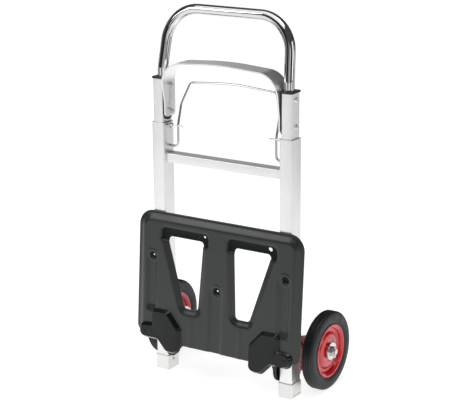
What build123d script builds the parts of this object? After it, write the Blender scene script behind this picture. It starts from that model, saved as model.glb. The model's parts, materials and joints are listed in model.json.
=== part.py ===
from build123d import *
import math
import os

# Folding hand truck: aluminium frame with a sliding handle, a toe plate that folds up against the
# uprights and two wheels on brackets that swing in behind the frame.
# Millimetres. X runs across the truck, Z up, and -Y is the side where the toe plate folds down.
# Sub-parts are built with Y = 0 on the front faces of the uprights and the floor at Z = 0, and
# are moved together at the end so that the origin is the middle of the footprint.

# --- frame ---------------------------------------------------------------------------------
UPRIGHT_SPACING = 314.0      # between the centre lines of the uprights
UPRIGHT_WIDTH = 30.0
UPRIGHT_DEPTH = 37.0
UPRIGHT_WALL = 1.5
UPRIGHT_TOP = 558.0
TUBE_CORNER = 2.5
CROSSBAR_DEPTH = 28.0
CROSSBAR_HEIGHT = 20.0
CROSSBAR_WALL = 1.5
CROSSBAR_DROP = 66.0         # crossbar's top below the uprights' tops
CROSSBAR_SETBACK = 7.0       # crossbar's front face behind the uprights' front faces
FOOT_WALL = 2.0
FOOT_FLOOR = 3.0
FOOT_HEIGHT = 33.0
FOOT_CORNER = 3.5
FOOT_SCREW_Z = 21.0
SCREW_R = 2.0
SCREW_HEAD_R = 4.0
SCREW_HEAD_H = 1.4
SCREW_LENGTH = 9.0

# --- sliding handle ------------------------------------------------------------------------
INNER_GAP_X = 3.0            # inner tube's outer faces inside the upright's outer faces
INNER_GAP_Y = 2.5
INNER_WALL = 1.2
INNER_CORNER = 2.0
INNER_RISE = 94.0            # inner tubes above the uprights with the handle down
HANDLE_TRAVEL = 320.0
HANDLE_OVERLAP = 90.0        # length of inner tube left inside when fully drawn out
GLIDE_CLEARANCE = 0.3
GLIDE_BUSH_HEIGHT = 28.0
GLIDE_BLOCK_HEIGHT = 14.0
PLUG_CLEARANCE = 0.1
PLUG_LENGTH = 45.0
CAP_THICKNESS = 4.0
CAP_OVERHANG = 2.3
CAP_DEPTH_OVERHANG = 3.5
CAP_CORNER = 5.0
CAP_LAP = 0.3                # inner edge of the cap past the upright's inner face
GRIP_R = 11.0
GRIP_WALL = 1.5
GRIP_HEIGHT = 147.0          # centre line of the grip above the inner tubes
GRIP_LEAN = 21.5             # how far the grip lies behind its own legs
GRIP_INSET = 3.0             # legs inward of the inner tubes' centre lines
GRIP_TAPER = 8.0             # how much further in the legs are at the top
GRIP_BEND_R = 75.0
SPIGOT_LENGTH = 12.0
BOW_THICKNESS = 3.0
BOW_GAP = 0.5                # bow's legs to the planes of the uprights' inner faces
BOW_FRONT = -6.5
BOW_REAR_OVERHANG = 2.5
BOW_CROWN_RISE = 46.0        # top of the bow above the inner tubes
BOW_SHOULDER_RISE = 36.0
BOW_BEND_R = 47.0
BOW_LEG_GAP = 13.0           # bow's legs end this far above the uprights
BOW_LEG_FRONT = 2.5
SPACER_GAP = 5.0
BOW_BOLT_RISE = (25.0, 80.5)
BOLT_R = 3.0
BOLT_CLEARANCE = 0.2
BOLT_HEAD_R = 5.5
BOLT_HEAD_H = 3.4
NUT_FLATS = 10.0
NUT_HEIGHT = 4.5

# --- release bail and lock pins ------------------------------------------------------------
BAIL_WIRE_R = 2.5
BAIL_PIVOT_DROP = 52.0       # below the uprights' tops
BAIL_LEG_INSET = 21.0        # inward of the uprights' inner faces
BAIL_SHOULDER_INSET = 36.0
BAIL_BEND_R = 10.0
LOCK_DROP = 6.5              # below the uprights' tops
LOCK_PIN_R = 4.0
LOCK_ROD_R = 1.5
LOCK_ROD_REACH = 36.0        # from the upright's inner face to the rod's free end
LOCK_STUB_REACH = 11.0
LOCK_CLEARANCE = 0.1
GUIDE_FLATS = 13.0
GUIDE_LENGTH = 5.0
WIRE_CLEARANCE = 0.4

# --- toe plate -----------------------------------------------------------------------------
PLATE_OVERHANG = 48.0        # plate's side edge outside the upright's centre line
PLATE_LENGTH = 286.0
PLATE_SHEET = 2.0
PLATE_DEPTH = 9.0            # height of the pressed field above the rim
PLATE_BEVEL = 18.0
PLATE_RIM = 4.0
PLATE_CORNER = 34.0
PLATE_FOOT_CORNER = 14.0
PLATE_FOOT_Y = -24.0         # rear plane of the plate at its lower edge
PLATE_FOOT_Z = 79.0
PLATE_LEAN = 4.46            # degrees back from upright when folded
PLATE_SIDE_STEP = 14.0       # the lower edge is this much higher outside the tongue
TONGUE_HEIGHT = 60.0
WINDOW_TOP = 236.0           # measured up the plate from its lower edge
WINDOW_BOTTOM = 83.0
WINDOW_TOP_X = (38.0, 131.0)
WINDOW_BOTTOM_X = (47.0, 82.0)
WINDOW_CORNER = 8.0
WINDOW_FLANGE = 1.6
RECESS_HEIGHT = 22.0
RECESS_X = (22.0, 146.0)
SIDE_CHANNEL_OFFSET = 9.0    # outside the upright's centre line
CHANNEL_FOOT = 70.0
CHANNEL_WIDTH = 16.0
CHANNEL_DEPTH = 4.0
DIMPLE_R = 7.0
DIMPLE_HOLE_R = 2.5
SIDE_DIMPLE_UP = 189.0
CENTRE_DIMPLE_UP = 136.0
TOE_PIVOT_BEHIND = 38.5      # hinge bolt behind the plate's lower edge
CHEEK_THICKNESS = 5.0
TONGUE_CLEARANCE = 0.8       # tongue to the inner faces of the feet
CHEEK_R = 27.0
CHEEK_GAP = 3.0              # cheek to upright
TOE_BOLT_R = 4.0
TOE_BOLT_HEAD_R = 8.0
TOE_BOLT_HEAD_H = 4.0
RUNNING_CLEARANCE = 0.05
LUG_DEPTH = 10.0
LUG_FLARE = 6.0
LUG_SHEET = 2.0
LUG_PIN_OFFSET = 20.0        # outside the upright's centre line
LUG_PIN_UP = 19.0
LUG_PIN_R = 4.5

# --- wheels and their folding brackets -----------------------------------------------------
TYRE_R = 85.0
TYRE_WIDTH = 28.0
TYRE_BORE_RATIO = 0.6235     # of the tyre's radius
TREAD_GROOVE = 1.6
WHEEL_OFFSET = 42.0          # middle plane of the wheel outside the upright's centre line
WHEEL_BEHIND = 61.0          # axle behind the upright's rear face
RIM_LIP = 4.5
RIM_SHEET = 2.0
HUB_R = 14.0
HUB_WIDTH = 26.0
AXLE_R = 6.0
AXLE_STICKOUT = 9.0
WASHER_R = 19.0
WASHER_THICKNESS = 1.6
NUT_R = 10.0
AXLE_NUT_HEIGHT = 6.0
BRACKET_PIN_BEHIND = 12.0    # behind the upright's rear face
BRACKET_PIN_R = 4.0
BRACKET_TUBE_R = 7.5
BRACKET_SHEET = 3.0
BRACKET_PLATE_OFFSET = 9.0   # outside the upright's centre line
BRACKET_EYE_R = 28.0
BRACKET_TOP_RATIO = 1.482    # of the tyre's radius
BRACKET_BOTTOM_RATIO = 0.565
MOUNT_SHEET = 3.0
MOUNT_GAP = 0.4
RIVET_R = 2.4
RIVET_HEAD_R = 5.0
RIVET_HEAD_H = 1.1           # leaves the bracket's knuckle 0.4 clear
RIVET_INSET = 14.0           # from the ends of the bracket

upright_x = UPRIGHT_SPACING / 2
inner_face = upright_x - UPRIGHT_WIDTH / 2
tube_y = UPRIGHT_DEPTH / 2
inner_width = UPRIGHT_WIDTH - 2 * INNER_GAP_X
inner_depth = UPRIGHT_DEPTH - 2 * INNER_GAP_Y
inner_top = UPRIGHT_TOP + INNER_RISE
inner_bottom = UPRIGHT_TOP - HANDLE_OVERLAP - HANDLE_TRAVEL
crossbar_top = UPRIGHT_TOP - CROSSBAR_DROP
bow_rear = UPRIGHT_DEPTH + BOW_REAR_OVERHANG
bow_crown = inner_top + BOW_CROWN_RISE
bow_shoulder = inner_top + BOW_SHOULDER_RISE
bow_leg_bottom = UPRIGHT_TOP + BOW_LEG_GAP
bow_outer = inner_face - BOW_GAP
bow_bolt_z = [UPRIGHT_TOP + rise for rise in BOW_BOLT_RISE]
lock_z = UPRIGHT_TOP - LOCK_DROP
bail_pivot_z = UPRIGHT_TOP - BAIL_PIVOT_DROP
bail_y = tube_y + LOCK_ROD_R + BAIL_WIRE_R + WIRE_CLEARANCE
lean = math.radians(PLATE_LEAN)
plate_half = upright_x + PLATE_OVERHANG
side_channel_x = upright_x + SIDE_CHANNEL_OFFSET
lug_pin_x = upright_x + LUG_PIN_OFFSET
tongue_half = inner_face - FOOT_WALL - TONGUE_CLEARANCE
toe_pivot_y = PLATE_FOOT_Y + TOE_PIVOT_BEHIND
tyre_bore_r = TYRE_R * TYRE_BORE_RATIO
rim_lip_r = tyre_bore_r + RIM_LIP
wheel_x = upright_x + WHEEL_OFFSET
wheel_y = UPRIGHT_DEPTH + WHEEL_BEHIND
bracket_pin_y = UPRIGHT_DEPTH + BRACKET_PIN_BEHIND
bracket_plate_x = upright_x + BRACKET_PLATE_OFFSET
bracket_top = TYRE_R * BRACKET_TOP_RATIO
bracket_bottom = TYRE_R * BRACKET_BOTTOM_RATIO
mount_rivet_z = (bracket_bottom + RIVET_INSET, bracket_top - RIVET_INSET)

# The toe plate turns down until the faces of its lugs lie on the floor.
foot_offset = (toe_pivot_y - PLATE_FOOT_Y) * math.cos(lean) + PLATE_FOOT_Z * math.sin(lean)
lug_face = PLATE_DEPTH + LUG_DEPTH
toe_pivot_z = (foot_offset + lug_face) / (1 + math.sin(lean))

parts = {}


def box(x, y, z):
    """A box from its three ranges."""
    return Pos(sum(x) / 2, sum(y) / 2, sum(z) / 2) * Box(x[1] - x[0], y[1] - y[0], z[1] - z[0])


def x_rod(radius, x, y, z):
    """A cylinder along X over the range x."""
    length = x[1] - x[0]
    return Pos((x[0] + x[1]) / 2, y, z) * Rot(0, 90, 0) * Cylinder(radius, length)


def y_rod(radius, x, y, z):
    """A cylinder along Y over the range y."""
    return Pos(x, (y[0] + y[1]) / 2, z) * Rot(90, 0, 0) * Cylinder(radius, y[1] - y[0])


def z_rod(radius, x, y, z):
    """A cylinder along Z over the range z."""
    return Pos(x, y, (z[0] + z[1]) / 2) * Cylinder(radius, z[1] - z[0])


def x_hexagon(flats, x, y, z):
    """A hexagonal bar along X over the range x."""
    outline = RegularPolygon(flats / 2, 6, major_radius=False, rotation=30)
    return Pos(x[0], y, z) * Rot(0, 90, 0) * extrude(outline, x[1] - x[0])


def rounded_bar(width, depth, corner, z, x=0.0, y=0.0):
    """An upright bar of rounded rectangular section."""
    return Pos(x, y, z[0]) * extrude(RectangleRounded(width, depth, corner), z[1] - z[0])


def square_tube(width, depth, wall, corner, z, x, y):
    """An upright rectangular tube."""
    inside = rounded_bar(width - 2 * wall, depth - 2 * wall, max(corner - wall, 0.3), z, x, y)
    return rounded_bar(width, depth, corner, z, x, y) - inside


def add_pair(name, shape):
    """Name a right-hand piece and its mirror image."""
    parts[name + "_right"] = shape
    parts[name + "_left"] = mirror(shape, about=Plane.YZ)


def both_sides(shape):
    """The solids of a right-hand piece and of its mirror image, as one group."""
    return Compound(list(shape.solids()) + list(mirror(shape, about=Plane.YZ).solids()))


def group(shapes):
    """Separate solids kept in one node."""
    return Compound([solid for shape in shapes for solid in shape.solids()])


# --- frame: uprights, crossbar, feet -------------------------------------------------------
def make_frame():
    tube_z = (FOOT_FLOOR, UPRIGHT_TOP)
    upright = square_tube(UPRIGHT_WIDTH, UPRIGHT_DEPTH, UPRIGHT_WALL, TUBE_CORNER, tube_z,
                          upright_x, tube_y)
    inner_wall = (inner_face - 1, inner_face + UPRIGHT_WALL + 0.5)
    upright -= x_rod(LOCK_PIN_R + LOCK_CLEARANCE, inner_wall, tube_y, lock_z)
    upright -= x_rod(BAIL_WIRE_R + WIRE_CLEARANCE, inner_wall, bail_y, bail_pivot_z)
    upright -= x_rod(TOE_BOLT_R, inner_wall, toe_pivot_y, toe_pivot_z)
    upright -= x_rod(SCREW_R, inner_wall, tube_y, FOOT_SCREW_Z)
    for z in mount_rivet_z:
        upright -= y_rod(RIVET_R, upright_x, (UPRIGHT_DEPTH - UPRIGHT_WALL - 1, UPRIGHT_DEPTH + 1), z)
    add_pair("upright", upright)

    bar_y = CROSSBAR_SETBACK + CROSSBAR_DEPTH / 2
    bar_z = crossbar_top - CROSSBAR_HEIGHT / 2
    outer = RectangleRounded(CROSSBAR_DEPTH, CROSSBAR_HEIGHT, TUBE_CORNER)
    hollow = RectangleRounded(CROSSBAR_DEPTH - 2 * CROSSBAR_WALL,
                              CROSSBAR_HEIGHT - 2 * CROSSBAR_WALL, TUBE_CORNER - CROSSBAR_WALL)
    section = Plane((-inner_face, bar_y, bar_z), x_dir=(0, 1, 0), z_dir=(1, 0, 0)) * (outer - hollow)
    parts["crossbar"] = extrude(section, 2 * inner_face)

    foot = rounded_bar(UPRIGHT_WIDTH + 2 * FOOT_WALL, UPRIGHT_DEPTH + 2 * FOOT_WALL, FOOT_CORNER,
                       (0, FOOT_HEIGHT), upright_x, tube_y)
    foot = chamfer(foot.faces().sort_by(Axis.Z)[0].edges(), 0.8)
    foot -= rounded_bar(UPRIGHT_WIDTH, UPRIGHT_DEPTH, TUBE_CORNER, (FOOT_FLOOR, FOOT_HEIGHT + 1),
                        upright_x, tube_y)
    foot_face = inner_face - FOOT_WALL
    foot -= x_rod(SCREW_R, (foot_face - 1, inner_face + 1), tube_y, FOOT_SCREW_Z)
    foot -= box((upright_x + UPRIGHT_WIDTH / 2 + 0.8, upright_x + UPRIGHT_WIDTH / 2 + FOOT_WALL + 1),
                (3, UPRIGHT_DEPTH - 3), (5, 6.5))
    add_pair("foot", foot)
    screw = x_rod(SCREW_HEAD_R, (foot_face - SCREW_HEAD_H, foot_face), tube_y, FOOT_SCREW_Z)
    screw += x_rod(SCREW_R, (foot_face - 0.1, foot_face + SCREW_LENGTH), tube_y, FOOT_SCREW_Z)
    screw -= box((foot_face - SCREW_HEAD_H - 1, foot_face - SCREW_HEAD_H + 0.6),
                 (tube_y - SCREW_HEAD_R, tube_y + SCREW_HEAD_R), (FOOT_SCREW_Z - 0.5, FOOT_SCREW_Z + 0.5))
    parts["foot_screws"] = both_sides(screw)

    bush_z = (UPRIGHT_TOP - GLIDE_BUSH_HEIGHT, UPRIGHT_TOP)
    bush = rounded_bar(UPRIGHT_WIDTH - 2 * UPRIGHT_WALL, UPRIGHT_DEPTH - 2 * UPRIGHT_WALL,
                       TUBE_CORNER - UPRIGHT_WALL, bush_z, upright_x, tube_y)
    bush -= rounded_bar(inner_width + 2 * GLIDE_CLEARANCE, inner_depth + 2 * GLIDE_CLEARANCE,
                        INNER_CORNER, bush_z, upright_x, tube_y)
    bush -= x_rod(LOCK_PIN_R + LOCK_CLEARANCE, (inner_face, upright_x), tube_y, lock_z)
    add_pair("glide_bush", bush)


# --- sliding handle ------------------------------------------------------------------------
def make_inner_tubes():
    tube = square_tube(inner_width, inner_depth, INNER_WALL, INNER_CORNER, (inner_bottom, inner_top),
                       upright_x, tube_y)
    near_wall = (upright_x - inner_width / 2 - 1, upright_x - inner_width / 2 + INNER_WALL + 1)
    for z in (lock_z, lock_z - HANDLE_TRAVEL):
        tube -= x_rod(LOCK_PIN_R + GLIDE_CLEARANCE, near_wall, tube_y, z)
    for z in bow_bolt_z:
        tube -= x_rod(BOLT_R + BOLT_CLEARANCE, (inner_face, upright_x + inner_width), tube_y, z)
    add_pair("inner_tube", tube)

    inside_width = inner_width - 2 * INNER_WALL - 2 * PLUG_CLEARANCE
    inside_depth = inner_depth - 2 * INNER_WALL - 2 * PLUG_CLEARANCE
    block = rounded_bar(UPRIGHT_WIDTH - 2 * UPRIGHT_WALL - 2 * GLIDE_CLEARANCE,
                        UPRIGHT_DEPTH - 2 * UPRIGHT_WALL - 2 * GLIDE_CLEARANCE, TUBE_CORNER,
                        (inner_bottom - GLIDE_BLOCK_HEIGHT, inner_bottom), upright_x, tube_y)
    block += rounded_bar(inside_width, inside_depth, 1.0,
                         (inner_bottom - 1, inner_bottom + GLIDE_BLOCK_HEIGHT), upright_x, tube_y)
    add_pair("glide_block", block)

    cap_inner = inner_face - CAP_LAP
    cap_outer = upright_x + inner_width / 2 + CAP_OVERHANG
    cap_z = (inner_top, inner_top + CAP_THICKNESS)
    cap = rounded_bar(cap_outer - cap_inner, inner_depth + 2 * CAP_DEPTH_OVERHANG, CAP_CORNER, cap_z,
                      (cap_inner + cap_outer) / 2, tube_y)
    cap = fillet(cap.faces().sort_by(Axis.Z)[-1].edges(), 1.4)
    grip_x = upright_x - GRIP_INSET
    spigot_r = GRIP_R - GRIP_WALL - PLUG_CLEARANCE
    cap -= z_rod(spigot_r + PLUG_CLEARANCE, grip_x, tube_y, cap_z)
    add_pair("tube_cap", cap)

    plug = rounded_bar(inside_width, inside_depth, 1.0, (inner_top - PLUG_LENGTH, inner_top),
                       upright_x, tube_y)
    plug += z_rod(spigot_r, grip_x, tube_y,
                  (inner_top, inner_top + CAP_THICKNESS + SPIGOT_LENGTH))
    for z in bow_bolt_z:
        plug -= x_rod(BOLT_R + BOLT_CLEARANCE, (inner_face, upright_x + inner_width), tube_y, z)
    add_pair("grip_plug", plug)


def make_grip():
    leg_x = upright_x - GRIP_INSET
    start = inner_top + CAP_THICKNESS
    corner_x = leg_x - GRIP_TAPER
    right = [(leg_x, tube_y, start), (leg_x, tube_y, start + SPIGOT_LENGTH + 4),
             (corner_x, tube_y + GRIP_LEAN, inner_top + GRIP_HEIGHT)]
    left = [(-x, y, z) for x, y, z in reversed(right)]
    path = FilletPolyline(*right, *left, radius=[50, GRIP_BEND_R, GRIP_BEND_R, 50])
    section = Plane(right[0], x_dir=(1, 0, 0), z_dir=(0, 0, 1)) * (Circle(GRIP_R)
                                                                  - Circle(GRIP_R - GRIP_WALL))
    parts["grip_tube"] = sweep(section, path=path)


def bow_line(inset):
    """The bow's outline in the XZ plane, moved in from its outer face."""
    half = bow_outer - inset
    points = [(-half, bow_leg_bottom - 10), (-half, bow_shoulder - inset), (0, bow_crown - inset),
              (half, bow_shoulder - inset), (half, bow_leg_bottom - 10)]
    radii = [BOW_BEND_R - inset, 700 - inset, BOW_BEND_R - inset]
    return points, FilletPolyline(*points, radius=radii)


def make_bow():
    outer_points, outer = bow_line(0)
    inner_points, inner = bow_line(BOW_THICKNESS)
    ends = [Line(outer_points[0], inner_points[0]), Line(outer_points[-1], inner_points[-1])]
    strip = make_face(outer.edges() + inner.edges() + [edge.edges()[0] for edge in ends])
    band = extrude(Plane.XZ * strip, -80)
    band = Pos(0, -20, 0) * band
    side = Polyline((BOW_FRONT, bow_crown + 5), (BOW_FRONT, inner_top + 3),
                    (BOW_LEG_FRONT, inner_top - 52), (BOW_LEG_FRONT, bow_leg_bottom),
                    (bow_rear, bow_leg_bottom), (bow_rear, bow_crown + 5), close=True)
    outline = make_face(side)
    low = outline.vertices().sort_by(Axis.Y)[:2]
    outline = fillet(low, 8)
    across = extrude(Plane.YZ * outline, 200, both=True)
    bow = band & across
    for z in bow_bolt_z:
        bow -= x_rod(BOLT_R + BOLT_CLEARANCE, (-upright_x, upright_x), tube_y, z)
    parts["bow"] = bow

    tube_face = upright_x - inner_width / 2
    strip_r = inner_depth / 2 - 0.5
    spacer_bottom = UPRIGHT_TOP + SPACER_GAP
    outline = Pos(tube_y, (spacer_bottom + inner_top) / 2) * Rectangle(inner_depth,
                                                                       inner_top - spacer_bottom)
    outline = fillet(outline.vertices().sort_by(Axis.Y)[:2], strip_r)
    spacer = Pos(bow_outer, 0, 0) * extrude(Plane.YZ * outline, tube_face - bow_outer)
    for z in bow_bolt_z:
        spacer -= x_rod(BOLT_R + BOLT_CLEARANCE, (bow_outer - 1, tube_face + 1), tube_y, z)
    add_pair("bow_spacer", spacer)

    tube_outer = upright_x + inner_width / 2
    bow_inner = bow_outer - BOW_THICKNESS
    bolts = []
    nuts = []
    for z in bow_bolt_z:
        head = x_rod(BOLT_HEAD_R, (tube_outer, tube_outer + BOLT_HEAD_H), tube_y, z)
        head = fillet(head.faces().sort_by(Axis.X)[-1].edges(), BOLT_HEAD_H - 0.6)
        head -= x_hexagon(4, (tube_outer + BOLT_HEAD_H - 1.6, tube_outer + BOLT_HEAD_H + 1), tube_y, z)
        bolts.append(head + x_rod(BOLT_R, (bow_inner - NUT_HEIGHT - 1, tube_outer + 0.1), tube_y, z))
        nut = x_hexagon(NUT_FLATS, (bow_inner - NUT_HEIGHT, bow_inner), tube_y, z)
        nuts.append(nut - x_rod(BOLT_R, (bow_inner - NUT_HEIGHT - 1, bow_inner + 1), tube_y, z))
    parts["bow_bolts"] = both_sides(group(bolts))
    parts["bow_nuts"] = both_sides(group(nuts))


# --- release bail and lock pins ------------------------------------------------------------
def make_release():
    wire_end = inner_face + UPRIGHT_WALL - 0.1
    leg_x = inner_face - BAIL_LEG_INSET
    shoulder_x = inner_face - BAIL_SHOULDER_INSET
    right = [(wire_end, bail_y, bail_pivot_z), (leg_x, bail_y, bail_pivot_z),
             (leg_x, bail_y, bail_pivot_z + 45), (leg_x, bail_y + 13, bail_pivot_z + 88),
             (shoulder_x, bail_y + 28, bail_pivot_z + 134)]
    middle = [(0, bail_y + 30, bail_pivot_z + 141)]
    left = [(-x, y, z) for x, y, z in reversed(right)]
    bends = [BAIL_BEND_R, 60, 25, BAIL_BEND_R]
    path = FilletPolyline(*right, *middle, *left, radius=bends + [500] + bends[::-1])
    section = Plane(right[0], x_dir=(0, 1, 0), z_dir=(-1, 0, 0)) * Circle(BAIL_WIRE_R)
    parts["release_bail"] = sweep(section, path=path)

    tip = upright_x - inner_width / 2 - GLIDE_CLEARANCE - 0.1
    stub = (inner_face - LOCK_STUB_REACH, tip)
    pin = x_rod(LOCK_PIN_R, stub, tube_y, lock_z)
    pin = chamfer(pin.faces().sort_by(Axis.X)[0].edges(), 1.0)
    pin += x_rod(LOCK_ROD_R, (inner_face - LOCK_ROD_REACH, stub[0] + 1), tube_y, lock_z)
    add_pair("lock_pin", pin)
    guide = x_hexagon(GUIDE_FLATS, (inner_face - GUIDE_LENGTH, inner_face), tube_y, lock_z)
    guide -= x_rod(LOCK_PIN_R + LOCK_CLEARANCE, (inner_face - GUIDE_LENGTH - 1, inner_face + 1),
                   tube_y, lock_z)
    add_pair("lock_guide", guide)


# --- toe plate -----------------------------------------------------------------------------
def on_plate(shape):
    """Move a shape drawn on the plate's own axes (X across, Y up the plate, Z out of its
    underside) to where the folded plate stands."""
    place = Plane((0, PLATE_FOOT_Y, PLATE_FOOT_Z), x_dir=(1, 0, 0),
                  z_dir=(0, -math.cos(lean), math.sin(lean)))
    return place.location * shape


def plate_outline(inset, side_inset):
    """The plate's outline: wide corners at the top, a tongue between the uprights below."""
    half = plate_half - side_inset
    tongue = tongue_half
    top = PLATE_LENGTH - inset
    shape = make_face(Polyline((-half, PLATE_SIDE_STEP), (-tongue, PLATE_SIDE_STEP), (-tongue, 0),
                               (tongue, 0), (tongue, PLATE_SIDE_STEP), (half, PLATE_SIDE_STEP),
                               (half, top), (-half, top), close=True))
    corners = shape.vertices().sort_by(Axis.Y)
    shape = fillet(corners[-2:], PLATE_CORNER - side_inset / 2)
    outer_low = [v for v in shape.vertices() if abs(abs(v.X) - half) < 0.1 and v.Y < 60]
    return fillet(outer_low, PLATE_FOOT_CORNER - side_inset / 4)


def field_outline(grow):
    """The pressed field inside the bevel, open to the plate's lower edge."""
    half = plate_half - PLATE_RIM + grow
    bottom = PLATE_SIDE_STEP + 0.01
    top = PLATE_LENGTH - PLATE_RIM + grow
    shape = make_face(Polyline((-half, bottom), (half, bottom), (half, top), (-half, top), close=True))
    return fillet(shape.vertices().sort_by(Axis.Y)[-2:], PLATE_CORNER - PLATE_RIM + grow)


def window_outline(grow=0.0):
    """One of the two tapered windows, on the +X side."""
    shape = make_face(Polyline((WINDOW_TOP_X[0], WINDOW_TOP), (WINDOW_TOP_X[1], WINDOW_TOP),
                               (WINDOW_BOTTOM_X[1], WINDOW_BOTTOM), (WINDOW_BOTTOM_X[0], WINDOW_BOTTOM),
                               close=True))
    shape = fillet(shape.vertices(), WINDOW_CORNER)
    return offset(shape, grow) if grow else shape


def tapered_pad(low, high, height):
    """A solid between two outlines that lie height apart."""
    return loft([low.face(), (Pos(0, 0, height) * high).face()], ruled=True)


def plate_pad(inset, z_low, z_high):
    """The raised pad of the field between two heights, drawn in by the bevel."""
    low = field_outline(-inset)
    high = field_outline(-inset - PLATE_BEVEL)
    return Pos(0, 0, z_low) * tapered_pad(low, high, z_high - z_low)


def make_toe_plate():
    plate = extrude(plate_outline(0, 0), PLATE_SHEET)
    plate += plate_pad(0, PLATE_SHEET - 0.01, PLATE_DEPTH)
    plate += box((-tongue_half, tongue_half), (0, TONGUE_HEIGHT), (0, PLATE_DEPTH))
    hollow = plate_pad(3.2, -0.01, PLATE_DEPTH - PLATE_SHEET)
    hollow += box((-tongue_half, tongue_half), (PLATE_SHEET, TONGUE_HEIGHT),
                  (-1, PLATE_DEPTH - PLATE_SHEET))
    plate -= hollow

    under = (0.5, PLATE_DEPTH - 0.01)
    recess_mid = sum(RECESS_X) / 2
    recess_width = RECESS_X[1] - RECESS_X[0]
    for side in (1, -1):
        window = window_outline()
        wall = window_outline(WINDOW_FLANGE)
        recess = Pos(recess_mid, WINDOW_TOP + RECESS_HEIGHT / 2 - 6) * RectangleRounded(
            recess_width, RECESS_HEIGHT + 12, 9)
        recess_wall = offset(recess, PLATE_SHEET)
        channel = Pos(side_channel_x, (SIDE_DIMPLE_UP + CHANNEL_FOOT) / 2) * RectangleRounded(
            CHANNEL_WIDTH, SIDE_DIMPLE_UP - CHANNEL_FOOT, CHANNEL_WIDTH / 2 - 0.1)
        if side < 0:
            window, wall, recess, recess_wall, channel = (
                mirror(s, about=Plane.YZ) for s in (window, wall, recess, recess_wall, channel))
        floor = PLATE_DEPTH - 7.0
        plate += Pos(0, 0, floor) * extrude(recess_wall, PLATE_DEPTH - floor - 0.01)
        plate -= Pos(0, 0, floor + PLATE_SHEET) * extrude(recess, PLATE_DEPTH)
        plate += Pos(0, 0, under[0]) * extrude(wall, floor + PLATE_SHEET - under[0])
        plate += Pos(0, 0, floor + 0.5) * (extrude(wall, PLATE_DEPTH - floor - 0.51) - extrude(
            recess, PLATE_DEPTH))
        plate -= Pos(0, 0, -1) * extrude(window, PLATE_DEPTH + 3)
        channel_floor = PLATE_DEPTH - CHANNEL_DEPTH
        plate += Pos(0, 0, channel_floor - PLATE_SHEET) * extrude(offset(channel, PLATE_SHEET),
                                                                  CHANNEL_DEPTH + 1)
        plate -= Pos(0, 0, channel_floor) * extrude(channel, CHANNEL_DEPTH + 2)
    for x, up in ((side_channel_x, SIDE_DIMPLE_UP), (-side_channel_x, SIDE_DIMPLE_UP),
                  (0, CENTRE_DIMPLE_UP)):
        dish = Pos(x, up, PLATE_DEPTH - PLATE_SHEET - CHANNEL_DEPTH)
        plate += dish * Pos(0, 0, (CHANNEL_DEPTH + PLATE_SHEET) / 2) * Cylinder(
            DIMPLE_R + PLATE_SHEET, CHANNEL_DEPTH + PLATE_SHEET)
        plate -= Pos(x, up, PLATE_DEPTH + 2) * Cylinder(DIMPLE_R, 2 * CHANNEL_DEPTH + 4)
        plate -= Pos(x, up, PLATE_DEPTH / 2) * Cylinder(DIMPLE_HOLE_R, 2 * PLATE_DEPTH)
    parts["toe_plate"] = on_plate(plate)


def lug_outline(grow=0.0):
    """The boot-shaped face of a lug: body, toe towards the middle and an arm that reaches out to
    the pin. Each corner is its place outside the upright's centre line, its height up the plate
    and its radius."""
    corners = [(-65, 35, 10), (-36, 67, 6), (-2, 67, 7), (-2, 33, 5), (30, 31, 10.5), (30, 8, 11),
               (-16, 8, 12), (-39, -16, 9), (-65, -16, 12)]
    shape = make_face(Polyline(*[(upright_x + x, up) for x, up, _ in corners], close=True))
    for x, up, radius in corners:
        corner = shape.vertices().sort_by_distance((upright_x + x, up, 0))[0]
        shape = fillet(corner, radius)
    return offset(shape, grow) if grow else shape


def make_lugs():
    outer = tapered_pad(lug_outline(LUG_FLARE), lug_outline(), LUG_DEPTH)
    hollow = tapered_pad(lug_outline(LUG_FLARE - LUG_SHEET), lug_outline(-LUG_SHEET), LUG_DEPTH - LUG_SHEET)
    lug = outer - hollow
    lug -= Pos(lug_pin_x, LUG_PIN_UP, 0) * Cylinder(LUG_PIN_R, 3 * LUG_DEPTH)
    lug = Pos(0, 0, PLATE_DEPTH) * lug
    add_pair("lug", on_plate(lug))
    pin = Pos(lug_pin_x, LUG_PIN_UP, PLATE_DEPTH + (LUG_DEPTH + 1) / 2) * Cylinder(LUG_PIN_R, LUG_DEPTH + 1)
    pin = fillet(pin.edges().sort_by(Axis.Z)[-1], 0.9)
    parts["lug_pins"] = both_sides(on_plate(pin))


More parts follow.
